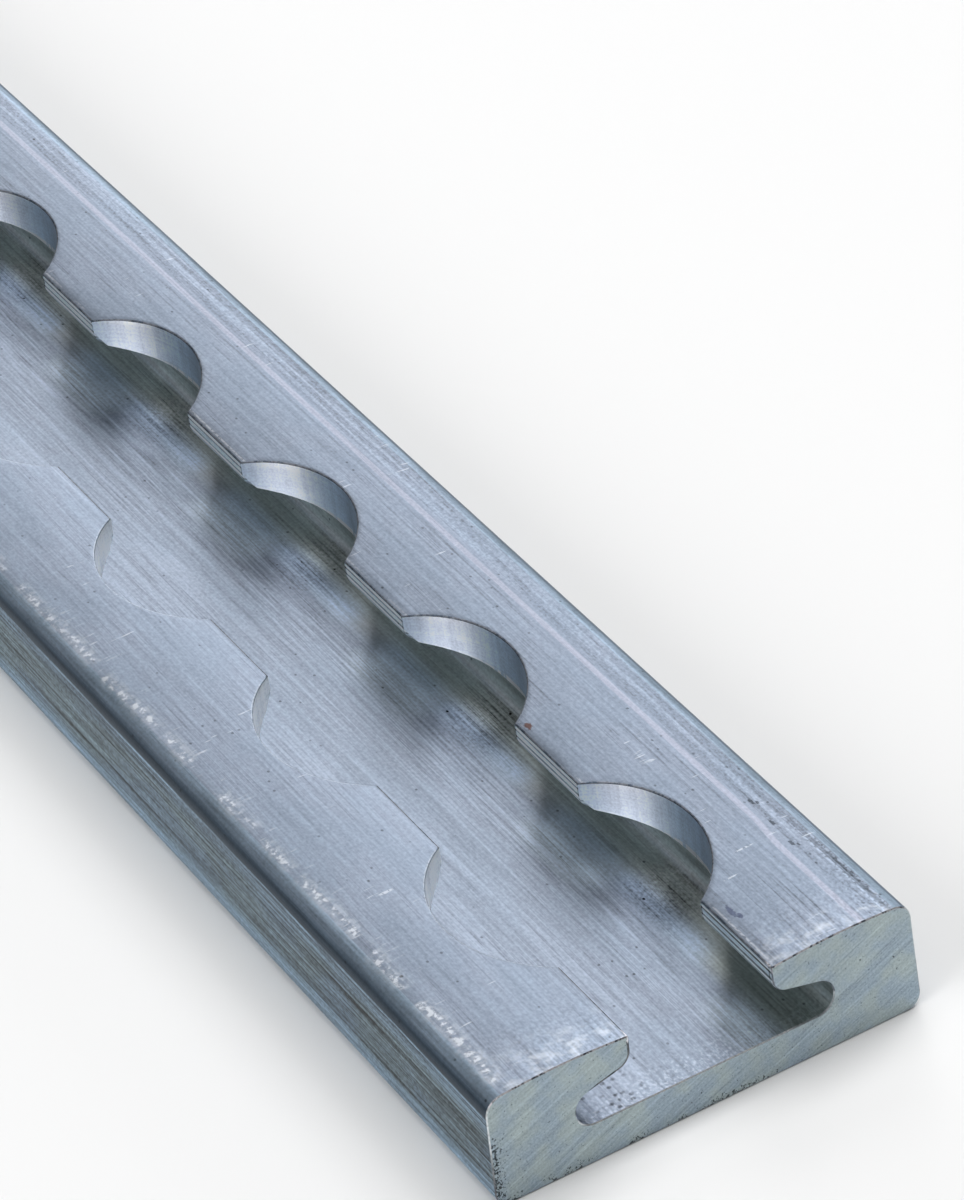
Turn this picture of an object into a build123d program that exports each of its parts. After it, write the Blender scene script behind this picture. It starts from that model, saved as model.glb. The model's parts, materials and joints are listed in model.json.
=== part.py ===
from build123d import *
from math import floor, radians, tan
import os

# Flat cargo track: one aluminium extrusion with a T-shaped slot along its top. Round access holes
# in a row cut the two lips into teeth, and a stud foot drops into a hole and slides under the teeth.
# All sizes are in millimetres. X runs along the rail, Y across it and Z up from the underside.
# The origin is the middle of the underside.

# Rail
rail_length = 1000.0
base_width = 34.4
side_draft_angle = 1.5
lip_edge_height = 9.3
lip_crown_rise = 0.3
top_corner_radius = 1.4
bottom_corner_radius = 1.2

# Slot
floor_thickness = 3.3
neck_width = 11.4
slot_width = 20.7
slot_end_radius = 1.4
slot_end_flat = 0.1
lip_underside_angle = 14.0
nose_radius = 1.3

# Access holes
hole_diameter = 20.1
hole_pitch = 25.4
least_end_distance = 12.7
cutter_overrun = 1.0

# Heights and half widths that follow from the sizes above
base_half = base_width / 2
neck_half = neck_width / 2
slot_half = slot_width / 2
outer_edge_y = base_half - lip_edge_height * tan(radians(side_draft_angle))
crown_y = (outer_edge_y + neck_half) / 2
crown_height = lip_edge_height + lip_crown_rise

# Each side of the slot ends in two rounds with a short flat between them: the lower round meets
# the floor squarely and takes its whole radius of height, the upper one meets the sloping lip.
upper_round_height = slot_end_radius * tan(radians(90 - lip_underside_angle) / 2)
slot_end_height = slot_end_radius + slot_end_flat + upper_round_height
slot_wall_top = floor_thickness + slot_end_height
nose_height = slot_wall_top + (slot_half - neck_half) * tan(radians(lip_underside_angle))

# The rail is sawn midway between holes or further out, so the spare length is shared by both ends.
hole_count = 1 + floor((rail_length - 2 * least_end_distance) / hole_pitch)
hole_start_height = floor_thickness + slot_end_height / 2
cutter_height = crown_height + cutter_overrun - hole_start_height


def half_section():
    """Right half of the section, as a face with Y to the right and Z up."""
    base_corner = (base_half, 0)
    outer_corner = (outer_edge_y, lip_edge_height)
    crown_top = (crown_y, crown_height)
    nose_top = (neck_half, lip_edge_height)
    nose_bottom = (neck_half, nose_height)
    wall_top = (slot_half, slot_wall_top)
    wall_bottom = (slot_half, floor_thickness)
    lip_top = ThreePointArc(outer_corner, crown_top, nose_top)
    slot_side = Polyline(nose_top, nose_bottom, wall_top, wall_bottom, (0, floor_thickness))
    base_side = Polyline((0, floor_thickness), (0, 0), base_corner, outer_corner)
    face = make_face([lip_top, *slot_side.edges(), *base_side.edges()])
    rounded_corners = [
        (base_corner, bottom_corner_radius),
        (outer_corner, top_corner_radius),
        (nose_bottom, nose_radius),
        (wall_top, slot_end_radius),
        (wall_bottom, slot_end_radius),
    ]
    for corner, radius in rounded_corners:
        vertex = face.vertices().sort_by_distance(Vector(*corner))[0]
        face = fillet(vertex, radius)
    return face


def section():
    """Whole section: the right half and its mirror image."""
    right = half_section()
    return right + mirror(right, about=Plane.YZ)


def access_holes():
    """Row of cutters that pass through the lips and end inside the slot, clear of its floor."""
    at_its_foot = (Align.CENTER, Align.CENTER, Align.MIN)
    cutter = Cylinder(hole_diameter / 2, cutter_height, align=at_its_foot)
    row = GridLocations(hole_pitch, hole_pitch, hole_count, 1)
    return [Pos(0, 0, hole_start_height) * place * cutter for place in row]


def rail():
    """The extruded bar, drilled."""
    bar = extrude(Plane.YZ * section(), amount=rail_length / 2, both=True)
    return bar - access_holes()


os.makedirs("parts", exist_ok=True)
export_step(rail(), "parts/rail.step")
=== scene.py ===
import json
from collections import namedtuple
from math import acos, atan2, cos, pi, radians, sin, sqrt, tan

import bmesh
import bpy
from mathutils import Matrix, Vector


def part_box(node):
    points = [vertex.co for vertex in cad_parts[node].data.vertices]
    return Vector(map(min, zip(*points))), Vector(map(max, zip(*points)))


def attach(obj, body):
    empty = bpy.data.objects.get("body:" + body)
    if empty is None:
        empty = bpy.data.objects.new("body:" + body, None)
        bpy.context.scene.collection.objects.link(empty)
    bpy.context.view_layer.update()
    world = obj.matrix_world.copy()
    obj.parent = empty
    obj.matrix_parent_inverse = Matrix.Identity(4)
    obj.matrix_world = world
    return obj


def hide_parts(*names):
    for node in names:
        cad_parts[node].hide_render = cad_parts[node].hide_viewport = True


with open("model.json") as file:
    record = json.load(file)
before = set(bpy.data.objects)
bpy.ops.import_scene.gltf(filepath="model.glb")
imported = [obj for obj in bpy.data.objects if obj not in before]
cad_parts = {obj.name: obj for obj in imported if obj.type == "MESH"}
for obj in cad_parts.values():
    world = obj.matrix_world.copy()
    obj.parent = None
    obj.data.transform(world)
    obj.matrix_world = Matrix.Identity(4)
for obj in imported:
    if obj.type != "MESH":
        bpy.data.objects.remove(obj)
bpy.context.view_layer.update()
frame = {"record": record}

record = frame["record"]
scene = bpy.context.scene
MM = 0.001


# The rail's own sizes, in metres. The frame gives its length, width and holes.

rail_low, rail_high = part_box("rail")
rail_half_length = (rail_high.x - rail_low.x) / 2
rail_half_width = (rail_high.y - rail_low.y) / 2
holes = [m for m in record["mounts"] if m["name"].startswith("access_hole")]
hole_places = sorted(m["pos_m"][0] for m in holes)
hole_radius = holes[0]["dims"]["r_mm"] * MM
hole_pitch = hole_places[1] - hole_places[0]
hole_count = round((hole_places[-1] - hole_places[0]) / hole_pitch) + 1
first_hole_x = hole_places[0]

LIP_EDGE_HEIGHT = 9.3 * MM
LIP_CROWN_RISE = 0.3 * MM
SIDE_DRAFT = radians(1.5)
TOP_CORNER_RADIUS = 1.4 * MM
BOTTOM_CORNER_RADIUS = 1.2 * MM
FLOOR_HEIGHT = 3.3 * MM
NECK_HALF = 5.7 * MM
SLOT_HALF = 10.35 * MM
SLOT_END_RADIUS = 1.4 * MM
SLOT_END_FLAT = 0.1 * MM
LIP_UNDERSIDE_ANGLE = radians(14)
NOSE_RADIUS = 1.3 * MM

# The hole's arc that shows in one lip runs this far each way from straight across the rail.
hole_reach_angle = acos(NECK_HALF / hole_radius)
hole_half_chord = hole_radius * sin(hole_reach_angle)


def arc_points(centre, radius, start, end, steps):
    """Points along an arc, both ends included. Angles are in radians."""
    turn = (end - start) / steps
    return [Vector((centre[0] + radius * cos(start + i * turn), centre[1] + radius * sin(start + i * turn)))
            for i in range(steps + 1)]


class LipUnderside:
    """The lower outline of the lip from its nose to the slot's end wall, measured by distance along it."""

    def __init__(self):
        slope = LIP_UNDERSIDE_ANGLE
        turn = pi / 2 - slope
        self.end_height = FLOOR_HEIGHT + SLOT_END_RADIUS + SLOT_END_FLAT
        self.end_centre = (SLOT_HALF - SLOT_END_RADIUS, self.end_height)
        wall_top = self.end_height + SLOT_END_RADIUS * tan(turn / 2)
        nose_bottom = wall_top + (SLOT_HALF - NECK_HALF) * tan(slope)
        self.nose_height = nose_bottom + NOSE_RADIUS * tan(turn / 2)
        self.nose_centre = (NECK_HALF + NOSE_RADIUS, self.nose_height)
        self.line_start = (self.nose_centre[0] - NOSE_RADIUS * sin(slope),
                           self.nose_centre[1] - NOSE_RADIUS * cos(slope))
        self.line_end = (self.end_centre[0] + SLOT_END_RADIUS * sin(slope),
                         self.end_centre[1] + SLOT_END_RADIUS * cos(slope))
        self.round_length = NOSE_RADIUS * turn
        self.line_length = (self.line_end[0] - self.line_start[0]) / cos(slope)
        self.end_length = SLOT_END_RADIUS * turn
        self.length = self.round_length + self.line_length + self.end_length

    def at(self, distance):
        """The point (y, z) that far along the outline."""
        if distance < self.round_length:
            angle = pi + distance / NOSE_RADIUS
            return Vector((self.nose_centre[0] + NOSE_RADIUS * cos(angle),
                           self.nose_centre[1] + NOSE_RADIUS * sin(angle)))
        distance -= self.round_length
        if distance < self.line_length:
            share = distance / self.line_length
            return Vector((self.line_start[0] + share * (self.line_end[0] - self.line_start[0]),
                           self.line_start[1] + share * (self.line_end[1] - self.line_start[1])))
        distance -= self.line_length
        angle = pi / 2 - LIP_UNDERSIDE_ANGLE - distance / SLOT_END_RADIUS
        return Vector((self.end_centre[0] + SLOT_END_RADIUS * cos(angle),
                       self.end_centre[1] + SLOT_END_RADIUS * sin(angle)))

    def distance_of(self, y):
        """How far along the outline it reaches y."""
        if y <= self.line_start[0]:
            return NOSE_RADIUS * acos(min(1, (self.nose_centre[0] - y) / NOSE_RADIUS))
        if y <= self.line_end[0]:
            return self.round_length + (y - self.line_start[0]) / cos(LIP_UNDERSIDE_ANGLE)
        angle = acos((y - self.end_centre[0]) / SLOT_END_RADIUS)
        return self.length - angle * SLOT_END_RADIUS


class LipTop:
    """The crowned top of the lip and the rounded outer corner beside it."""

    def __init__(self):
        base_half = rail_half_width + BOTTOM_CORNER_RADIUS * ((1 + sin(SIDE_DRAFT)) / cos(SIDE_DRAFT) - 1)
        outer_y = base_half - LIP_EDGE_HEIGHT * tan(SIDE_DRAFT)
        half_chord = (outer_y - NECK_HALF) / 2
        self.crown_y = (outer_y + NECK_HALF) / 2
        self.radius = (half_chord ** 2 + LIP_CROWN_RISE ** 2) / (2 * LIP_CROWN_RISE)
        self.centre_z = LIP_EDGE_HEIGHT + LIP_CROWN_RISE - self.radius
        # The corner's centre lies one corner radius inside both the side and the crown.
        side_point = Vector((base_half, 0)) - TOP_CORNER_RADIUS * Vector((cos(SIDE_DRAFT), sin(SIDE_DRAFT)))
        up_side = Vector((-sin(SIDE_DRAFT), cos(SIDE_DRAFT)))
        offset = side_point - Vector((self.crown_y, self.centre_z))
        along = offset.dot(up_side)
        reach = self.radius - TOP_CORNER_RADIUS
        climb = -along + sqrt(along ** 2 - offset.length_squared + reach ** 2)
        self.corner_centre = side_point + climb * up_side
        self.corner_start_angle = atan2(self.corner_centre[1] - self.centre_z,
                                        self.corner_centre[0] - self.crown_y)
        self.end_y = self.crown_y + self.radius * cos(self.corner_start_angle)
        self.base_half = base_half

    def height(self, y):
        return self.centre_z + sqrt(self.radius ** 2 - (y - self.crown_y) ** 2)


underside = LipUnderside()
lip_crown = LipTop()

# Where the sloping underside would meet the rail's middle plane
WALL_FOOT_AT_MIDDLE = underside.line_start[1] + underside.line_start[0] * tan(LIP_UNDERSIDE_ANGLE)


# The broken edges, and a dark strip of painted burr shadow just inside the cut face round the near lip's
# nose

EDGE_ROUND = 0.12 * MM
CUT_BEVEL = 0.09 * MM
BURR_SHADOW_WIDTH = 0.14 * MM
BURR_SHADOW_START_Y = -8.9 * MM
BURR_SHADOW_START_Z = 5.0 * MM
BURR_SHADOW_END_Z = 9.1 * MM

# How finely the outline is divided. A lip's top is divided finely up to NEAR_TOP_END_Y, past the holes.

EDGE_STEPS = 2
NEAR_TOP_STEPS = 6
FAR_TOP_STEPS = 5
WALL_STEPS = 4
ROUND_STEPS = 5
LINE_STEPS = 3
SLOT_END_STEPS = 6
CORNER_STEPS = 7
HOLE_STEPS = 20
TOOTH_STEPS = 2
NEAR_TOP_END_Y = 10.8 * MM
SHARP_ANGLE = radians(38)

# The finishes, numbered as the rail's materials are
TOP, SIDE, SLOT, EDGE, MACHINED, SAWN = range(6)


def lip_outline(cut_y, lean):
    """The part of the lip's outline that changes along the rail, from its top round to the slot's end.

    cut_y is where the nose or the hole's wall stands, and lean widens the small edge round where the
    wall stands askew to the section."""
    points = []
    edge_y = cut_y + EDGE_ROUND * lean
    for i in range(NEAR_TOP_STEPS):
        y = NEAR_TOP_END_Y + (edge_y - NEAR_TOP_END_Y) * i / NEAR_TOP_STEPS
        points.append(Vector((y, lip_crown.height(y))))
    top_z = lip_crown.height(edge_y)
    for i in range(EDGE_STEPS + 1):
        angle = pi / 2 + pi / 2 * i / EDGE_STEPS
        y = edge_y + EDGE_ROUND * lean * cos(angle)
        points.append(Vector((y, top_z - EDGE_ROUND + EDGE_ROUND * sin(angle))))
    start = underside.distance_of(cut_y)
    wall_top, wall_foot = points[-1], underside.at(start)
    for i in range(1, WALL_STEPS):
        points.append(wall_top.lerp(wall_foot, i / WALL_STEPS))
    marks = [underside.round_length * i / ROUND_STEPS for i in range(ROUND_STEPS)]
    marks += [underside.round_length + underside.line_length * i / LINE_STEPS for i in range(LINE_STEPS)]
    marks += [underside.round_length + underside.line_length + underside.end_length * i / SLOT_END_STEPS
              for i in range(SLOT_END_STEPS + 1)]
    for mark in marks:
        share = mark / underside.length
        points.append(underside.at(start + (underside.length - start) * share))
    return points


def outer_outline():
    """The lip's top beyond the holes' reach, the outer corner, the side and the base's round corner."""
    points = []
    for i in range(FAR_TOP_STEPS):
        y = NEAR_TOP_END_Y + (lip_crown.end_y - NEAR_TOP_END_Y) * i / FAR_TOP_STEPS
        points.append(Vector((y, lip_crown.height(y))))
    points += arc_points(lip_crown.corner_centre, TOP_CORNER_RADIUS,
                         lip_crown.corner_start_angle, SIDE_DRAFT, CORNER_STEPS)
    base_centre = (rail_half_width - BOTTOM_CORNER_RADIUS, BOTTOM_CORNER_RADIUS)
    points += arc_points(base_centre, BOTTOM_CORNER_RADIUS, SIDE_DRAFT, -pi / 2, CORNER_STEPS)
    return points


def floor_outline():
    """From the slot's end wall round its foot to the floor."""
    foot_centre = (SLOT_HALF - SLOT_END_RADIUS, FLOOR_HEIGHT + SLOT_END_RADIUS)
    return arc_points(foot_centre, SLOT_END_RADIUS, 0, -pi / 2, SLOT_END_STEPS)


# A place along the rail where the outline is set out. The coarse ones also divide the plain faces.
Station = namedtuple("Station", "x cut_y lean coarse in_hole")


def stations():
    """Every station, from one cut end to the other."""
    places = []
    for k in range(hole_count):
        middle = first_hole_x + k * hole_pitch
        tooth_start = -rail_half_length if k == 0 else middle - hole_pitch + hole_half_chord
        tooth_end = middle - hole_half_chord
        for i in range(0 if k == 0 else 1, TOOTH_STEPS):
            x = tooth_start + (tooth_end - tooth_start) * i / TOOTH_STEPS
            coarse = i == TOOTH_STEPS // 2 or x == -rail_half_length
            places.append(Station(x, NECK_HALF, 1, coarse, False))
        for i in range(HOLE_STEPS + 1):
            angle = hole_reach_angle * (2 * i / HOLE_STEPS - 1)
            lean = 1 if i in (0, HOLE_STEPS) else 1 / cos(angle)
            places.append(Station(middle + hole_radius * sin(angle), hole_radius * cos(angle),
                                  lean, False, True))
    last = first_hole_x + (hole_count - 1) * hole_pitch + hole_half_chord
    for i in range(1, TOOTH_STEPS + 1):
        x = last + (rail_half_length - last) * i / TOOTH_STEPS
        places.append(Station(x, NECK_HALF, 1, i == TOOTH_STEPS, False))
    return places


def finish_of_row(j, in_hole):
    """Which finish the faces have that start at this point of the lip's outline."""
    if j < NEAR_TOP_STEPS:
        return TOP
    if j < NEAR_TOP_STEPS + EDGE_STEPS:
        return EDGE
    if in_hole and j < NEAR_TOP_STEPS + EDGE_STEPS + WALL_STEPS:
        return MACHINED
    return SLOT


def inset(loop, distance):
    """The loop of (y, z) points moved inwards, square to itself at each point."""
    moved = []
    for before, here, after in zip(loop[-1:] + loop[:-1], loop, loop[1:] + loop[:1]):
        along = (here - before).normalized() + (after - here).normalized()
        along.normalize()
        moved.append(here + distance * Vector((-along.y, along.x)))
    return moved


def add_burr_shadow_rim(mesh_data, loop):
    """Lays a dark strip of painted burr shadow just inside the cut face, round the near lip's nose, and
    gives the new loop.
    """
    outline = [vertex.co.yz for vertex in loop]
    cut_patch = [BURR_SHADOW_START_Y < p[0] < 0 and BURR_SHADOW_START_Z < p[1] < BURR_SHADOW_END_Z for p in outline]
    moved = inset(outline, BURR_SHADOW_WIDTH)
    inner = [mesh_data.verts.new((vertex.co.x, *place)) if dark else vertex
             for vertex, place, dark in zip(loop, moved, cut_patch)]
    for k in range(len(loop)):
        ring = [loop[k - 1], loop[k]]
        ring += [inner[k]] if cut_patch[k] else []
        ring += [inner[k - 1]] if cut_patch[k - 1] else []
        if len(ring) > 2:
            mesh_data.faces.new(ring).material_index = EDGE
    return inner


def add_side(mesh_data, side, marks, coarse):
    """One side's lip, outer side and slot. The side is 1 for +Y, which is far in the photo, or -1."""
    outer = outer_outline()
    foot = floor_outline()
    grid = [[mesh_data.verts.new((mark.x, side * p[0], p[1])) for p in lip_outline(mark.cut_y, mark.lean)]
            for mark in marks]
    for i, (row, following) in enumerate(zip(grid, grid[1:])):
        in_hole = marks[i].in_hole and marks[i + 1].in_hole
        for j in range(len(row) - 1):
            quad = [row[j], row[j + 1], following[j + 1], following[j]]
            face = mesh_data.faces.new(quad if side > 0 else quad[::-1])
            face.material_index = finish_of_row(j, in_hole)
    far = [[mesh_data.verts.new((marks[i].x, side * p[0], p[1])) for p in outer[1:]] for i in coarse]
    inner = [[mesh_data.verts.new((marks[i].x, side * p[0], p[1])) for p in foot] for i in coarse]
    for a in range(len(coarse) - 1):
        first, last = coarse[a], coarse[a + 1]
        top_run = [grid[i][0] for i in range(first, last + 1)]
        strip = top_run + [far[a + 1][0], far[a][0]]
        mesh_data.faces.new(strip if side < 0 else strip[::-1]).material_index = TOP
        end_run = [grid[i][-1] for i in range(first, last + 1)]
        strip = end_run + [inner[a + 1][0], inner[a][0]]
        mesh_data.faces.new(strip if side > 0 else strip[::-1]).material_index = SLOT
        for run, way, finish in ((far, -side, SIDE), (inner, side, SLOT)):
            for j in range(len(run[a]) - 1):
                quad = [run[a][j], run[a][j + 1], run[a + 1][j + 1], run[a + 1][j]]
                face = mesh_data.faces.new(quad[::-1] if way > 0 else quad)
                face.material_index = TOP if finish == SIDE and j < FAR_TOP_STEPS - 1 else finish
    return grid, far, inner


def add_base(mesh_data, sides):
    """The flat underside and the middle of the slot's floor, which join the two sides."""
    _, right_far, right_inner = sides[1]
    _, left_far, left_inner = sides[-1]
    for a in range(len(right_far) - 1):
        under = [right_far[a][-1], left_far[a][-1], left_far[a + 1][-1], right_far[a + 1][-1]]
        mesh_data.faces.new(under).material_index = SIDE
        floor_middle = [right_inner[a][-1], right_inner[a + 1][-1],
                        left_inner[a + 1][-1], left_inner[a][-1]]
        mesh_data.faces.new(floor_middle).material_index = SLOT


def close_end(mesh_data, sides, end):
    """The cut at the first (0) or last (-1) station: a narrow bevel, and the flat face inside it."""
    loop = []
    for side in (1, -1):
        grid, far, inner = sides[side]
        half = inner[end][::-1] + grid[end][::-1] + far[end]
        loop += half if side > 0 else half[::-1]
    outline = [vertex.co.yz for vertex in loop]
    area = sum(a.cross(b) for a, b in zip(outline, outline[1:] + outline[:1]))
    if area < 0:
        loop.reverse()
        outline.reverse()
    end_x = loop[0].co.x
    for vertex in loop:
        vertex.co.x -= CUT_BEVEL if end_x > 0 else -CUT_BEVEL
    face_loop = [mesh_data.verts.new((end_x, p[0], p[1])) for p in inset(outline, CUT_BEVEL)]
    for k in range(len(loop)):
        quad = [loop[k - 1], loop[k], face_loop[k], face_loop[k - 1]]
        mesh_data.faces.new(quad).material_index = EDGE
    if end_x > 0:
        face_loop = add_burr_shadow_rim(mesh_data, face_loop)
    mesh_data.faces.new(face_loop).material_index = SAWN


def build_rail():
    """The whole rail as one closed mesh."""
    mesh_data = bmesh.new()
    marks = stations()
    coarse = [i for i, mark in enumerate(marks) if mark.coarse]
    sides = {side: add_side(mesh_data, side, marks, coarse) for side in (1, -1)}
    add_base(mesh_data, sides)
    for end in (0, -1):
        close_end(mesh_data, sides, end)
    bmesh.ops.recalc_face_normals(mesh_data, faces=mesh_data.faces)
    mesh = bpy.data.meshes.new("rail_body")
    mesh_data.to_mesh(mesh)
    mesh_data.free()
    for polygon in mesh.polygons:
        polygon.use_smooth = True
    mesh.set_sharp_from_angle(angle=SHARP_ANGLE)
    piece = bpy.data.objects.new("rail_body", mesh)
    scene.collection.objects.link(piece)
    return piece


rail = build_rail()


# Materials. All patterns are worked out in millimetres from the object's own axes.

# How far each seed moves a pattern along x, y and z
NOISE_SHIFT = (7.31, 3.17, 5.71)
SPECK_SHIFT = (5.13, 2.71, 3.37)


class Surface:
    """One material, with shorthand for its nodes."""

    def __init__(self, name):
        self.material = bpy.data.materials.new(name)
        self.material.use_nodes = True
        self.nodes = self.material.node_tree.nodes
        self.links = self.material.node_tree.links
        self.shader = self.nodes["Principled BSDF"]
        self.shader.inputs["Metallic"].default_value = 1
        metres = self.nodes.new("ShaderNodeTexCoord").outputs["Object"]
        self.place = self.vector("SCALE", metres, scale=1 / MM)
        split = self.nodes.new("ShaderNodeSeparateXYZ")
        self.put(split.inputs[0], self.place)
        self.x, self.y, self.z = split.outputs
        self.width = self.math("ABSOLUTE", self.y)
        self.along = self.math("ABSOLUTE", self.x)

    def put(self, socket, value):
        """Links another node's output to the socket, or sets the socket to a constant."""
        if hasattr(value, "links"):
            self.links.new(value, socket)
        else:
            socket.default_value = value

    def math(self, operation, *values):
        node = self.nodes.new("ShaderNodeMath")
        node.operation = operation
        for socket, value in zip(node.inputs, values):
            self.put(socket, value)
        return node.outputs[0]

    def vector(self, operation, *values, scale=None):
        node = self.nodes.new("ShaderNodeVectorMath")
        node.operation = operation
        for socket, value in zip(node.inputs, values):
            self.put(socket, value)
        if scale is not None:
            self.put(node.inputs["Scale"], scale)
        return node.outputs[0]

    def product(self, *values):
        result = values[0]
        for value in values[1:]:
            result = self.math("MULTIPLY", result, value)
        return result

    def sum(self, *values):
        result = values[0]
        for value in values[1:]:
            result = self.math("ADD", result, value)
        return result

    def most(self, *values):
        """The greatest of the values at each point."""
        result = values[0]
        for value in values[1:]:
            result = self.math("MAXIMUM", result, value)
        return result

    def rise(self, value, low, high):
        """0 below low and 1 above high, smooth between. With low above high it falls instead."""
        node = self.nodes.new("ShaderNodeMapRange")
        node.interpolation_type = "SMOOTHSTEP"
        self.put(node.inputs["Value"], value)
        flip = low > high
        node.inputs["From Min"].default_value = min(low, high)
        node.inputs["From Max"].default_value = max(low, high)
        node.inputs["To Min"].default_value = 1 if flip else 0
        node.inputs["To Max"].default_value = 0 if flip else 1
        return node.outputs["Result"]

    def band(self, value, middle, half, soft):
        """1 within half of the middle, fading to 0 over soft."""
        away = self.math("ABSOLUTE", self.math("SUBTRACT", value, middle))
        return self.rise(away, half + soft, half)

    def spread(self, value, amount):
        """Noise about its middle, as a change of up to about the amount."""
        return self.math("MULTIPLY_ADD", value, 2 * amount, -amount)

    def noise(self, scales, seed, detail=2.0, rough=0.5, place=None):
        """Noise whose grain is one over each scale in millimetres."""
        node = self.nodes.new("ShaderNodeTexNoise")
        shift = tuple(seed * step for step in NOISE_SHIFT)
        shifted = self.vector("ADD", place or self.place, shift)
        self.put(node.inputs["Vector"], self.vector("MULTIPLY", shifted, scales))
        node.inputs["Scale"].default_value = 1
        node.inputs["Detail"].default_value = detail
        node.inputs["Roughness"].default_value = rough
        return node.outputs["Fac"]

    def turned(self, axis, angle):
        """The place, turned about an axis, for patterns that lie askew."""
        node = self.nodes.new("ShaderNodeVectorRotate")
        node.rotation_type = "AXIS_ANGLE"
        node.inputs["Axis"].default_value = axis
        node.inputs["Angle"].default_value = angle
        self.put(node.inputs["Vector"], self.place)
        return node.outputs[0]

    def specks(self, scales, seed, size, share):
        """Scattered round specks: size in cell widths, and the share of cells that have one."""
        node = self.nodes.new("ShaderNodeTexVoronoi")
        shifted = self.vector("ADD", self.place, tuple(seed * step for step in SPECK_SHIFT))
        self.put(node.inputs["Vector"], self.vector("MULTIPLY", shifted, scales))
        node.inputs["Scale"].default_value = 1
        near = self.rise(node.outputs["Distance"], size, size * 0.45)
        pick = self.nodes.new("ShaderNodeSeparateColor")
        self.put(pick.inputs[0], node.outputs["Color"])
        present = self.math("LESS_THAN", pick.outputs[0], share)
        return self.product(near, present)

    def mark(self, middle, half):
        """A single ragged spot at (x, y) in millimetres, that far each way along x and y."""
        across = self.math("DIVIDE", self.math("SUBTRACT", self.x, middle[0]), half[0])
        up = self.math("DIVIDE", self.math("SUBTRACT", self.y, middle[1]), half[1])
        away = self.math("SQRT", self.sum(self.product(across, across), self.product(up, up)))
        return self.rise(self.sum(away, self.spread(self.grain, 0.9)), 1.2, 0.7)

    def mix(self, factor, first, second):
        node = self.nodes.new("ShaderNodeMix")
        node.data_type = "RGBA"
        self.put(node.inputs["Factor"], factor)
        self.put(node.inputs["A"], (*first, 1) if isinstance(first, tuple) else first)
        self.put(node.inputs["B"], (*second, 1) if isinstance(second, tuple) else second)
        return node.outputs["Result"]

    def layered(self, colour, layers):
        """Lays each (where, colour) over what came before."""
        for where, layer in layers:
            colour = self.mix(where, colour, layer)
        return colour

    def direction(self, axis):
        """Points the shader's tangent along an axis."""
        node = self.nodes.new("ShaderNodeCombineXYZ")
        node.inputs[axis].default_value = 1
        self.put(self.shader.inputs["Tangent"], node.outputs[0])

    def bump(self, height, depth):
        """Relief whose height of 1 is the depth in metres."""
        node = self.nodes.new("ShaderNodeBump")
        node.inputs["Strength"].default_value = 1
        node.inputs["Distance"].default_value = depth
        self.put(node.inputs["Height"], height)
        self.put(self.shader.inputs["Normal"], node.outputs[0])

    def finish(self, colour, tone, roughness):
        self.put(self.shader.inputs["Base Color"], self.vector("SCALE", colour, scale=tone))
        self.put(self.shader.inputs["Roughness"], roughness)
        return self.material


# Base colours of the metal. Deep in the slot they are paler, a painted light where less light gets, and
# some there are olive, a painted shade.

TOP_TINTS = (0.258, 0.308, 0.388), (0.272, 0.317, 0.396)
STRIPE_HIGHLIGHT = (0.290, 0.312, 0.384)
BURNISHED = (0.80, 0.84, 0.90)

SIDE_TINTS = (0.256, 0.330, 0.412), (0.266, 0.336, 0.420)
LOWER_SIDE = (0.252, 0.352, 0.446)
OLIVE_SIDE = (0.262, 0.350, 0.398)
# Painted shade colour for the bands of painted shade on the corners
SHADED_BLUE = (0.215, 0.330, 0.470)

SLOT_TINTS = (0.302, 0.354, 0.438), (0.320, 0.368, 0.452)
DEEP_SLOT_FILL = (0.54, 0.58, 0.60)
BETWEEN_HOLES_FILL = (0.60, 0.70, 0.81)
LIT_PATCH_BELOW_HOLES = (0.49, 0.60, 0.76)
OLIVE_SHADE = (0.56, 0.615, 0.60)
SLOT_END = (0.46, 0.52, 0.52)
END_SHADE_BY_CUT = (0.44, 0.49, 0.48)
UNDER_LIP_FILL = (0.88, 0.91, 0.92)
NOSE_TINT = (0.80, 0.92, 1.0)

# The lips' edge rounds are painted dark, a painted shade line along each edge
FAR_EDGE_SHADE = (0.10, 0.125, 0.16)
NEAR_HOLE_EDGE_SHADE = (0.30, 0.36, 0.44)
NEAR_TOOTH_EDGE_SHADE = (0.04, 0.05, 0.06)
CUT_TOP_EDGE = (0.16, 0.17, 0.20)
CUT_SLOT_EDGE = (0.85, 0.90, 0.94)
CUT_FAR_SLOT_EDGE = (0.30, 0.34, 0.36)
CUT_OUTER_EDGE = (0.55, 0.60, 0.62)
# Painted shadow of the saw's burr round the near lip's nose
BURR_SHADOW_RIM = (0.035, 0.045, 0.05)
TORN_METAL = (0.92, 0.90, 0.94)

# The holes' walls: the lit and shaded colours and the highlights are painted light and painted shade
LIT_WALL = (0.74, 0.87, 1.0)
SHADED_WALL = (0.47, 0.57, 0.69)
FAR_WALL_HIGHLIGHT = (0.88, 0.90, 0.97)
NEAR_SLIVER_SHEEN = (0.89, 0.93, 1.0)
NEAR_SLIVER_HIGHLIGHT = (0.97, 0.98, 1.0)
# White glint painted on the wall's foot burr
BURR_GLINT = (1.0, 0.99, 1.0)

SAWN_TINTS = (0.375, 0.460, 0.528), (0.405, 0.475, 0.487)

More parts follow.
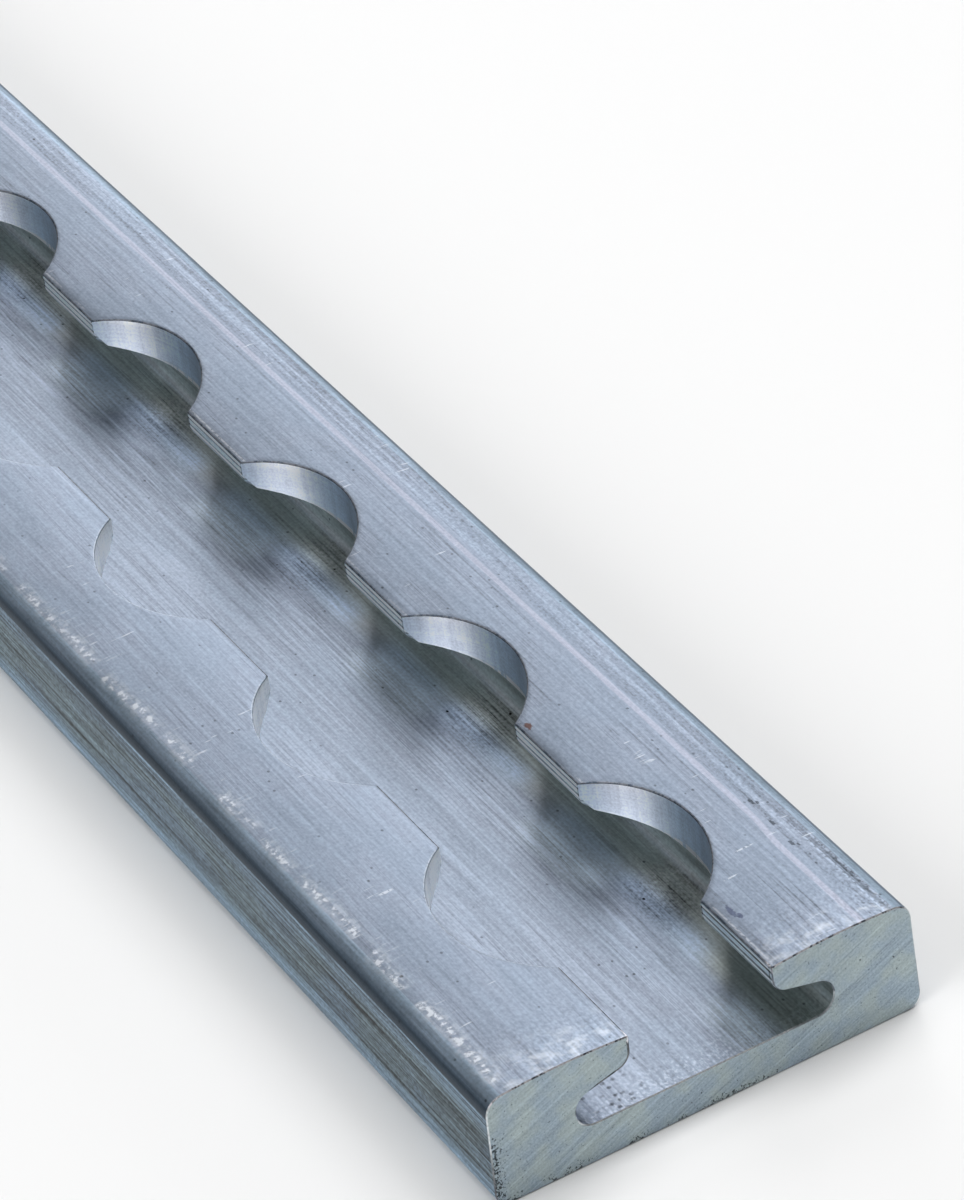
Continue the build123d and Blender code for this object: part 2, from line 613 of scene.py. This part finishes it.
# Lines along the bar, in millimetres. A lip's and a side's have a place and a change of tone, and a
# nose's have a height, a half width and a change of tone.
LIP_LINES = ((9.0, -0.16), (11.6, -0.14), (14.1, -0.12), (-13.5, -0.12), (-8.7, -0.10))
BRIGHT_LIP_LINES = (15.05, 15.55)
SIDE_LINES = ((5.75, -0.14), (4.4, -0.16), (3.15, -0.16), (0.9, -0.10))
NOSE_LINES = ((9.0, 0.06, 0.40), (8.80, 0.05, -0.55), (8.5, 0.14, 0.14),
              (8.22, 0.05, -0.55), (7.98, 0.10, 0.34), (7.72, 0.05, -0.50))
# Where the painted highlight stripe runs on the far lip's top, and how far it moves near the cut
STRIPE_Y = 13.38
STRIPE_STEP = -0.3
# Height in millimetres where the near corner's band of painted shade ends and the side under it begins
DARK_BAND_FOOT = 7.90

# Single marks on the lips' tops, in millimetres: middle, half size and, for the dark ones, colour
BRIGHT_SCRATCHES = [
    ((488.2, 11.0), (0.10, 0.85)),
    ((490.3, 8.6), (0.09, 0.6)),
    ((476.7, -11.3), (0.16, 0.7)),
]
RUST_SPECK = (0.15, 0.07, 0.05)
BLUE_SMUDGE = (0.11, 0.13, 0.21)
BLACK_PIT = (0.02, 0.02, 0.025)
PIT_CLUSTER = (0.07, 0.085, 0.11)
DARK_MARKS = [
    ((466.4, 6.3), (0.45, 0.25), RUST_SPECK),
    ((493.3, 6.7), (0.65, 0.20), BLUE_SMUDGE),
    ((494.1, 6.95), (0.35, 0.16), BLUE_SMUDGE),
    ((485.2, -14.95), (0.17, 0.15), BLACK_PIT),
    ((484.0, 14.2), (0.42, 0.14), PIT_CLUSTER),
    ((484.4, 14.5), (0.20, 0.10), PIT_CLUSTER),
    ((487.0, 14.1), (0.38, 0.13), PIT_CLUSTER),
    ((489.7, 13.95), (0.36, 0.14), PIT_CLUSTER),
    ((490.1, 14.25), (0.18, 0.10), PIT_CLUSTER),
]

# Relief and gloss
DRAWN_RELIEF = 0.004 * MM
MACHINED_RELIEF = 0.004 * MM
SAWN_RELIEF = 0.006 * MM
EDGE_RELIEF = 0.01 * MM
DRAWN_ROUGHNESS = 0.43
MACHINED_ROUGHNESS = 0.42
EDGE_ROUGHNESS = 0.42
SAWN_ROUGHNESS = 0.55
SAW_SLANT = radians(-25)


def drawn_aluminium(name, part, tints):
    """A surface as the die left it: lines along the bar, patches and pits, then what its part adds.

    The part gives back where the surface is worn bright, its colour and its tone."""
    s = Surface(name)
    s.fine = s.noise((0.15, 5.0, 5.0), 1, 2.0, 0.6)
    s.middling = s.noise((0.035, 2.0, 2.0), 2, 2.0, 0.6)
    s.grain = s.noise((3.2, 4.2, 4.2), 4, 2.0, 0.6)
    s.mottle = s.noise((0.12, 0.24, 0.24), 5, 2.0, 0.55)
    pits = s.specks((0.9, 1.15, 1.15), 6, 0.16, 0.25)
    thin_line = s.rise(s.math("ABSOLUTE", s.math("SUBTRACT", s.middling, 0.47)), 0.03, 0.006)
    tone = s.sum(1.0, s.spread(s.fine, 0.34), s.spread(s.middling, 0.18), s.spread(s.grain, 0.34),
                 s.spread(s.mottle, 0.16), s.product(pits, -0.5),
                 s.product(thin_line, s.rise(s.mottle, 0.42, 0.6), -0.2))
    colour = s.mix(s.rise(s.mottle, 0.36, 0.62), *tints)
    s.height = s.sum(s.fine, s.product(s.middling, 2.2))
    s.rougher = 0.0
    worn, colour, tone = part(s, colour, tone)
    colour = s.mix(worn, s.vector("SCALE", colour, scale=tone), BURNISHED)
    roughness = s.sum(DRAWN_ROUGHNESS, s.rougher, s.spread(s.fine, 0.06), s.spread(s.mottle, 0.06),
                      s.product(worn, -0.06))
    s.shader.inputs["Anisotropic"].default_value = 0.5
    s.shader.inputs["Anisotropic Rotation"].default_value = 0.25
    s.direction(0)
    s.bump(s.height, DRAWN_RELIEF)
    return s.finish(colour, 1.0, roughness)


def cross_strokes(s):
    """Small bright knocks along the near lip's outer edge, and thin scratches over both lips' tops."""
    knock_noise = s.noise((1.7, 1.6, 1.6), 13, 3.0, 0.65)
    clusters = s.noise((0.42, 0.1, 0.1), 15, 1.0)
    strokes = s.noise((3.0, 0.34, 0.34), 14, 2.0, 0.55)
    near_lip = s.rise(s.y, 0.5, -0.5)
    edge_y = s.math("MULTIPLY_ADD", s.mottle, -1.1, 15.85)
    here = s.product(near_lip, s.rise(clusters, 0.40, 0.50))
    knocks = s.product(s.band(s.width, edge_y, 0.16, 0.30), here, s.rise(knock_noise, 0.48, 0.60), 0.80)
    haze = s.product(s.band(s.width, edge_y, 0.30, 0.70), here, s.rise(knock_noise, 0.34, 0.64), 0.30)
    tails = s.product(s.rise(s.width, 12.6, 15.2), s.rise(s.width, 15.7, 15.3), near_lip,
                      s.rise(strokes, 0.62, 0.70), s.rise(knock_noise, 0.40, 0.56), 0.30)
    long_ones = s.product(s.rise(strokes, 0.69, 0.73), s.rise(s.mottle, 0.52, 0.62),
                          s.rise(s.width, 16.2, 15.6), 0.45)
    return s.most(knocks, haze, tails, long_ones)


def lip_top(s, colour, tone):
    """A lip's top: a painted highlight stripe where the real top bends with a painted dark line beside it,
    lines, a scored strip by the cut, pits, scratches and single marks.
    """
    # A painted highlight stripe where the real lip top bends, with a painted dark line beside it
    stripe_y = s.math("MULTIPLY_ADD", s.rise(s.x, 485.5, 489.5), STRIPE_STEP, STRIPE_Y)
    stripe = s.band(s.y, stripe_y, 0.16, 0.16)
    beside_stripe = s.band(s.y, 12.72, 0.04, 0.1)
    tone = s.sum(tone, s.product(stripe, 0.26), s.product(beside_stripe, -0.12))
    colour = s.mix(stripe, colour, STRIPE_HIGHLIGHT)

    broken = s.rise(s.mottle, 0.38, 0.5)
    scored = s.rise(s.grain, 0.38, 0.54)
    by_photo_cut = s.rise(s.x, 486.0, 490.0)
    for line_y, change in LIP_LINES:
        tone = s.sum(tone, s.product(s.band(s.y, line_y, 0.03, 0.08), broken, change))
    for line_y in BRIGHT_LIP_LINES:
        tone = s.sum(tone, s.product(s.band(s.y, line_y, 0.04, 0.06), by_photo_cut, scored, 0.42))

    near_cut = s.rise(s.along, 491.5, 498.5)
    at_cut = s.rise(s.along, 495.0, 499.8)
    streaks = s.product(s.rise(s.middling, 0.40, 0.33), s.rise(s.along, 485.0, 494.0),
                        s.rise(s.y, 3.0, 8.0))
    # The near lip's top is painted a little lighter than the far lip's, a painted light
    near_lip = s.rise(s.y, 2.0, -2.0)
    near_tooth_edge = s.band(s.y, -6.1, 0.1, 0.1)
    near_rim = s.product(s.rise(s.y, -12.6, -14.2), s.rise(s.x, 482.0, 462.0))
    far_rim = s.rise(s.y, 13.7, 14.3)
    pit_patch = s.product(s.band(s.y, 14.6, 0.9, 0.5), s.rise(s.along, 474.0, 478.0))
    pitted = s.product(pit_patch, s.specks((1.1, 1.3, 1.3), 17, 0.20, 0.5))
    tone = s.sum(tone, s.product(streaks, -0.30), s.product(near_cut, s.spread(s.grain, 0.24)),
                 s.product(at_cut, s.spread(s.fine, 0.40)), s.product(at_cut, 0.12),
                 s.product(near_tooth_edge, 0.16), s.product(near_lip, 0.06),
                 s.product(near_rim, 0.10), s.product(pitted, -0.45),
                 s.product(far_rim, s.spread(s.middling, 0.45)),
                 s.product(far_rim, s.spread(s.grain, 0.24)))

    edge_light = s.product(s.band(s.y, 6.02, 0.04, 0.07), s.rise(s.mottle, 0.44, 0.58),
                           s.rise(s.grain, 0.34, 0.52), 0.6)
    smear = s.noise((0.9, 0.6, 0.6), 16, 3.0, 0.6)
    cut_patch = s.product(at_cut, s.rise(smear, 0.44, 0.74), 0.48)
    scratches = [s.product(s.mark(middle, half), scored, 0.45) for middle, half in BRIGHT_SCRATCHES]
    worn = s.most(cut_patch, edge_light, cross_strokes(s), *scratches)
    colour = s.layered(colour, [(s.product(s.mark(middle, half), 0.85), paint)
                                for middle, half, paint in DARK_MARKS])
    return worn, colour, tone


def outer_side(s, colour, tone):
    """The outer corner, side and underside. High on the near corner is a painted highlight over a band of
    painted shade, and the far corner has a painted highlight over painted shade; under the band the side is
    painted darker, and near the bottom lighter, a painted reflection of the floor.
    """
    ridges = s.noise((0.02, 1.5, 7.0), 12, 3.0, 0.8)
    near = s.rise(s.y, 0.5, -0.5)
    above = s.rise(s.z, DARK_BAND_FOOT - 0.04, DARK_BAND_FOOT + 0.04)
    below = s.rise(s.z, DARK_BAND_FOOT + 0.04, DARK_BAND_FOOT - 0.04)
    # Painted highlight high on the near corner, and painted shade in the band under it
    shoulder_highlight = s.product(near, s.band(s.z, 9.23, 0.08, 0.20))
    shade_band = s.product(near, s.rise(s.z, 9.10, 8.60), above)
    # Painted highlight and painted shade on the far corner
    far_shoulder_highlight = s.product(s.rise(s.y, 15.6, 15.8), s.rise(s.y, 16.45, 16.2))
    far_corner_shade = s.product(s.rise(s.y, 16.22, 16.50), s.rise(s.z, 8.0, 8.6))
    upper = s.product(below, s.rise(s.z, 5.6, 6.4))
    # Near the bottom the side is painted lighter, a painted reflection of the floor
    lower = s.rise(s.z, 2.7, 1.8)
    light_line = s.product(s.band(s.z, 7.72, 0.05, 0.08), s.rise(s.fine, 0.35, 0.6))
    # Under the band the side is painted darker, a painted shade; the other terms are lines and grain
    shade = s.sum(1.0, s.product(shade_band, -0.84), s.product(shoulder_highlight, 0.48), s.product(below, -0.42),
                  s.product(far_shoulder_highlight, 0.25), s.product(far_corner_shade, -0.62), s.product(lower, 0.40),
                  s.product(upper, -0.08), s.product(light_line, 0.45),
                  s.product(below, s.spread(ridges, 1.3)), s.product(below, s.spread(s.fine, 0.5)),
                  s.product(below, s.spread(s.grain, 0.40)))
    for line_z, change in SIDE_LINES:
        shade = s.sum(shade, s.product(s.band(s.z, line_z, 0.06, 0.12), change))
    olive = s.product(near, s.rise(s.z, 1.6, 2.8), s.rise(s.z, 7.2, 6.0), s.rise(s.mottle, 0.38, 0.56))
    colour = s.layered(colour, [
        (below, LOWER_SIDE),
        (olive, OLIVE_SIDE),
        (s.most(shade_band, far_corner_shade), SHADED_BLUE),
    ])
    s.height = s.sum(s.height, s.product(ridges, 3.0))
    worn = s.product(cross_strokes(s), s.rise(s.z, 8.6, 8.9))
    return worn, colour, s.product(tone, shade)


def hole_offset(s):
    """How far along the rail it is from the nearest hole's middle, in millimetres."""
    pitch = hole_pitch / MM
    return s.math("WRAP", s.math("SUBTRACT", s.x, first_hole_x / MM), pitch / 2, -pitch / 2)


def offset_from_next_hole(s):
    """The same, but always from the next hole's middle towards +X, so never above 0."""
    return s.math("WRAP", s.math("SUBTRACT", s.x, first_hole_x / MM), 0, -hole_pitch / MM)


def slot_inside(s, colour, tone):
    """The slot: painted light and painted shade on the floor below and between the far lip's holes, painted
    light under the lips and olive painted shade deep in the slot, and lines on the noses.
    """
    offset = hole_offset(s)
    on_floor = s.rise(s.z, 3.7, 3.4)
    nose = s.product(s.rise(s.width, 6.4, 6.1), s.rise(s.z, 7.3, 7.6))
    tone = s.sum(tone, s.product(on_floor, s.spread(s.middling, 0.16)), s.product(nose, 0.05))
    for line_z, half, change in NOSE_LINES:
        tone = s.sum(tone, s.product(nose, s.band(s.z, line_z, half, 0.05), change))
    tooth_corner = s.band(s.math("ABSOLUTE", offset), hole_half_chord / MM + 0.07, 0.04, 0.06)
    far_nose_end = s.product(nose, s.rise(s.along, 489.0, 493.0), s.rise(s.y, -1.0, 1.0))
    near_cut = s.product(s.rise(s.along, 493.5, 498.0), s.rise(s.y, -3.0, -6.0))
    spots = s.product(near_cut, s.specks((1.9, 1.7, 1.7), 19, 0.46, 0.5))
    at_cut = s.product(s.rise(s.along, 496.5, 499.8), on_floor)
    # Painted shade on the floor below and beyond the far lip's holes, and on the floor under the near lip
    below_hole_shade = s.product(s.band(offset, 1.5, 2.0, 4.5), s.rise(s.y, 2.5, 4.5))
    beyond_hole_shade = s.product(s.band(offset, -0.8, 1.5, 4.0), s.rise(s.y, 3.8, 6.0))
    streaks = s.product(on_floor, s.band(s.y, 3.0, 1.0, 1.5), s.spread(s.fine, 0.36))
    near_slot_shade = s.product(on_floor, s.rise(s.y, -6.4, -8.4), s.rise(s.along, 490.0, 484.0))
    tone = s.sum(tone, s.product(nose, tooth_corner, -0.6), s.product(spots, -0.55),
                 s.product(at_cut, s.spread(s.grain, 0.2)), s.product(below_hole_shade, -0.16),
                 s.product(on_floor, beyond_hole_shade, -0.38), streaks,
                 s.product(near_slot_shade, -0.20), s.product(far_nose_end, -0.28))

    # Painted light: a paler floor between the holes, a paler patch below them and paler undersides of the
    # lips, where the far lip keeps light off
    between = s.product(s.band(offset_from_next_hole(s), -9.0, 2.5, 3.5), s.rise(s.y, 2.0, 4.5))
    lit = s.product(s.band(offset, 1.5, 4.5, 3.0), s.rise(s.y, 4.4, 6.2))
    colour = s.layered(colour, [
        (s.rise(s.y, 4.8, 7.5), DEEP_SLOT_FILL),
        (s.product(on_floor, between), BETWEEN_HOLES_FILL),
        (s.product(on_floor, lit), LIT_PATCH_BELOW_HOLES),
        # Olive painted shade deep under the far lip, on the slot's end walls and at the far end by the cut
        (s.product(on_floor, s.rise(s.y, 6.2, 8.2)), OLIVE_SHADE),
        (s.product(s.rise(s.z, 3.9, 4.6), s.rise(s.width, 6.0, 6.5)), UNDER_LIP_FILL),
        (s.product(s.rise(s.z, 3.7, 4.0), s.rise(s.width, 8.7, 9.3)), SLOT_END),
        (s.product(s.rise(s.along, 487.0, 492.0), s.rise(s.y, 5.0, 7.0)), END_SHADE_BY_CUT),
        (nose, NOSE_TINT),
    ])
    s.rougher = s.product(nose, 0.14)
    worn = s.product(at_cut, s.rise(s.grain, 0.50, 0.72), 0.22)
    return worn, colour, tone


def top_aluminium():
    return drawn_aluminium("top_aluminium", lip_top, TOP_TINTS)


def side_aluminium():
    return drawn_aluminium("side_aluminium", outer_side, SIDE_TINTS)


def slot_aluminium():
    return drawn_aluminium("slot_aluminium", slot_inside, SLOT_TINTS)


def edge_aluminium():
    """The narrow broken edges round the holes and along the saw cut: painted dark, a painted shade line
    along the lips' edges, with bright torn places, and a painted burr shadow round the near lip's nose.
    """
    s = Surface("edge_aluminium")
    torn_noise = s.noise((1.6, 1.6, 0.4), 41, 3.0, 0.7)
    grain = s.noise((4.0, 4.0, 4.0), 42, 1.0)
    at_cut = s.rise(s.along, 499.0, 499.5)
    off_cut = s.rise(s.along, 499.5, 499.0)
    near_lip = s.rise(s.y, 0.5, -0.5)
    in_hole = s.product(s.rise(s.math("ABSOLUTE", hole_offset(s)), 8.25, 8.15), off_cut)
    beside_hole = s.math("SUBTRACT", 1.0, in_hole)
    top_edge = s.product(at_cut, s.rise(s.z, 8.7, 9.0))
    slot_edge = s.product(at_cut, s.rise(s.z, 4.9, 4.5), s.rise(s.z, 2.0, 2.5), s.rise(s.width, 10.8, 10.5))
    outer_edge = s.product(at_cut, s.rise(s.width, 16.2, 16.6), s.rise(s.z, 1.5, 6.5))
    # A painted shadow of the saw's burr: a dark strip round the near lip's nose on the cut face
    cut_patch = s.product(at_cut, near_lip, s.rise(s.z, 4.8, 5.1), s.rise(s.z, 9.2, 9.0),
                        s.rise(s.width, 9.2, 8.8))
    torn = s.product(s.rise(torn_noise, 0.40, 0.50), s.sum(0.15, s.product(top_edge, 0.85)))
    colour = s.layered(FAR_EDGE_SHADE, [
        (s.product(near_lip, in_hole), NEAR_HOLE_EDGE_SHADE),
        (s.product(near_lip, beside_hole), NEAR_TOOTH_EDGE_SHADE),
        (top_edge, CUT_TOP_EDGE),
        (slot_edge, CUT_SLOT_EDGE),
        (s.product(slot_edge, s.rise(s.y, 6.0, 8.0)), CUT_FAR_SLOT_EDGE),
        (cut_patch, BURR_SHADOW_RIM),
        (outer_edge, CUT_OUTER_EDGE),
        (torn, TORN_METAL),
    ])
    s.bump(grain, EDGE_RELIEF)
    return s.finish(colour, s.sum(1.0, s.spread(grain, 0.6)), EDGE_ROUGHNESS)


def machined_aluminium():
    """The walls left by the cutter: metal with faint chatter from top to bottom, with painted highlights
    and painted shade across each wall and a painted glint on the burr at its foot.
    """
    s = Surface("machined_aluminium")
    chatter = s.noise((1.6, 1.6, 0.05), 21, 3.0, 0.65)
    rings = s.noise((0.05, 0.05, 5.0), 22, 2.0, 0.6)
    cloud = s.noise((0.5, 0.5, 0.5), 23, 2.0)
    grain = s.noise((6.0, 6.0, 6.0), 24, 1.0)
    offset = hole_offset(s)
    near = s.rise(s.y, 1.0, -1.0)
    far = s.rise(s.y, -1.0, 1.0)
    underside_drop = s.math("MULTIPLY_ADD", s.width, tan(LIP_UNDERSIDE_ANGLE), -WALL_FOOT_AT_MIDDLE / MM)
    above_foot = s.math("ADD", s.z, underside_drop)
    ragged = s.math("MULTIPLY_ADD", cloud, 0.35, above_foot)
    # A real burr along the wall's foot, its white glint painted
    burr = s.product(s.rise(ragged, 0.36, 0.25), s.rise(chatter, 0.35, 0.50), s.rise(offset, 5.0, 1.5))
    tone = s.sum(1.0, s.spread(chatter, 0.24), s.spread(rings, 0.16), s.spread(cloud, 0.22),
                 s.spread(grain, 0.22))
    # Painted light and painted shade across each wall: lit towards the hole's -X end, shaded towards +X,
    # with painted highlights on the far walls and on the near walls' slivers
    colour = s.mix(s.rise(offset, -3.0, 2.0), LIT_WALL, SHADED_WALL)
    colour = s.layered(colour, [
        (s.product(s.rise(offset, -9.6, -6.4), s.rise(offset, -1.2, -5.6), far), FAR_WALL_HIGHLIGHT),
        (s.product(s.rise(offset, -2.5, -4.5), near), NEAR_SLIVER_SHEEN),
        (s.product(s.rise(offset, -5.6, -7.6), near), NEAR_SLIVER_HIGHLIGHT),
    ])
    colour = s.mix(burr, s.vector("SCALE", colour, scale=tone), BURR_GLINT)
    s.shader.inputs["Anisotropic"].default_value = 0.8
    s.direction(2)
    s.bump(s.sum(s.product(chatter, 2.0), rings), MACHINED_RELIEF)
    roughness = s.sum(MACHINED_ROUGHNESS, s.spread(chatter, 0.05), s.product(burr, -0.10))
    return s.finish(colour, 1.0, roughness)


def sawn_aluminium():
    """The cut ends: matt, with scratches from the saw across them and dark grains by their edges."""
    s = Surface("sawn_aluminium")
    saw_way = s.turned((1, 0, 0), SAW_SLANT)
    fine = s.noise((1.0, 0.22, 7.0), 31, 2.0, 0.65, place=saw_way)
    scratch = s.noise((1.0, 0.10, 3.2), 33, 2.0, 0.5, place=saw_way)
    scratch_light = s.rise(scratch, 0.58, 0.68)
    scratch_dark = s.rise(scratch, 0.42, 0.33)
    tint = s.noise((0.4, 0.45, 0.45), 38, 2.0)
    grain = s.noise((6.0, 6.0, 6.0), 35, 2.0, 0.6)
    specks = s.specks((1.4, 1.4, 1.4), 36, 0.14, 0.12)
    low = s.product(s.rise(s.z, 1.1, 0.0), s.rise(tint, 0.46, 0.56), s.rise(s.y, 9.0, 1.0))
    outer = s.product(s.rise(s.y, -15.7, -17.1), s.rise(s.z, 6.8, 5.2))
    crumble = s.noise((4.5, 4.5, 4.5), 37, 2.0, 0.7)
    edge_specks = s.rise(s.sum(crumble, s.product(s.most(low, outer), 0.21)), 0.66, 0.72)
    tone = s.sum(1.0, s.spread(fine, 0.26), s.spread(grain, 0.34), s.spread(tint, 0.14),
                 s.product(scratch_light, 0.14), s.product(scratch_dark, -0.12),
                 s.product(specks, -0.45), s.product(edge_specks, -0.78))
    colour = s.mix(s.rise(tint, 0.34, 0.66), *SAWN_TINTS)
    s.bump(s.sum(s.product(fine, 1.5), s.product(scratch, 2.0), s.product(grain, 0.8)), SAWN_RELIEF)
    return s.finish(colour, tone, SAWN_ROUGHNESS)


# In the order of the finishes' numbers
for make in (top_aluminium, side_aluminium, slot_aluminium,
             edge_aluminium, machined_aluminium, sawn_aluminium):
    rail.data.materials.append(make())
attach(rail, "root")
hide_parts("rail")


# Floor, light and camera

FLOOR_REACH = 6.0
FLOOR_PAINT = (0.86, 0.86, 0.86, 1)
FLOOR_ROUGHNESS = 0.8


def add_floor():
    mesh = bpy.data.meshes.new("floor")
    corners = [(x * FLOOR_REACH, y * FLOOR_REACH, 0) for x, y in ((-1, -1), (1, -1), (1, 1), (-1, 1))]
    mesh.from_pydata(corners, [], [(0, 1, 2, 3)])
    floor = bpy.data.objects.new("floor", mesh)
    scene.collection.objects.link(floor)
    material = bpy.data.materials.new("pale_floor")
    material.use_nodes = True
    shader = material.node_tree.nodes["Principled BSDF"]
    shader.inputs["Base Color"].default_value = FLOOR_PAINT
    shader.inputs["Roughness"].default_value = FLOOR_ROUGHNESS
    floor.data.materials.append(material)


add_floor()

# The camera, fitted to the photo: compass and height angles and roll in degrees, lens in millimetres
CUT_END = Vector((rail_half_length, 0, LIP_EDGE_HEIGHT))
CAMERA_AZIMUTH = 64.597
CAMERA_ELEVATION = 36.063
CAMERA_ROLL = 8.202
CAMERA_LENS = 178.17
FILM_WIDTH = 36
CAMERA_AIM = CUT_END + Vector((-49.02, 11.43, 0)) * MM
CAMERA_DISTANCE = 440.55 * MM
CLIP_START = 0.01
CLIP_END = 50


def add_camera():
    data = bpy.data.cameras.new("camera")
    data.lens = CAMERA_LENS
    data.sensor_width = FILM_WIDTH
    data.sensor_fit = "AUTO"
    data.clip_start = CLIP_START
    data.clip_end = CLIP_END
    camera = bpy.data.objects.new("camera", data)
    azimuth, elevation = radians(CAMERA_AZIMUTH), radians(CAMERA_ELEVATION)
    back = Vector((sin(azimuth) * cos(elevation), -cos(azimuth) * cos(elevation), sin(elevation)))
    level = (-back).to_track_quat("-Z", "Y").to_matrix()
    roll = Matrix.Rotation(radians(-CAMERA_ROLL), 3, "Z")
    camera.matrix_world = Matrix.Translation(CAMERA_AIM + back * CAMERA_DISTANCE) @ (level @ roll).to_4x4()
    scene.collection.objects.link(camera)
    scene.camera = camera


add_camera()


# Softboxes round the rail: compass angle, height angle, half width (all in degrees) and brightness
SOFTBOXES = [
    ("left_behind", 147, 38, 11, 2.9),
    ("left_low", 157, 18, 10, 3.4),
    ("behind_low", 116, 18, 12, 2.8),
    ("behind_high", 108, 58, 14, 3.9),
    ("overhead", 135, 80, 22, 3.0),
    ("right_front", 279, 32, 20, 3.9),
    ("right_front_high", 315, 60, 15, 1.4),
]
LIGHT_DISTANCE = 2.0
LIT_POINT = Vector((rail_half_length - 50 * MM, 0, 0))
WORLD_BRIGHTNESS = 0.13


def add_softbox(name, compass, height, half_width, brightness):
    radius = LIGHT_DISTANCE * radians(half_width)
    data = bpy.data.lights.new(name, "AREA")
    data.shape = "DISK"
    data.size = 2 * radius
    data.energy = brightness * (pi * radius) ** 2
    lamp = bpy.data.objects.new(name, data)
    compass, height = radians(compass), radians(height)
    towards = Vector((cos(compass) * cos(height), sin(compass) * cos(height), sin(height)))
    lamp.location = LIT_POINT + towards * LIGHT_DISTANCE
    lamp.rotation_euler = (-towards).to_track_quat("-Z", "Y").to_euler()
    scene.collection.objects.link(lamp)


for softbox in SOFTBOXES:
    add_softbox(*softbox)


def add_world():
    world = bpy.data.worlds.new("studio")
    world.use_nodes = True
    background = world.node_tree.nodes["Background"]
    background.inputs["Color"].default_value = (1, 1, 1, 1)
    background.inputs["Strength"].default_value = WORLD_BRIGHTNESS
    scene.world = world


add_world()
scene.view_settings.view_transform = "Standard"
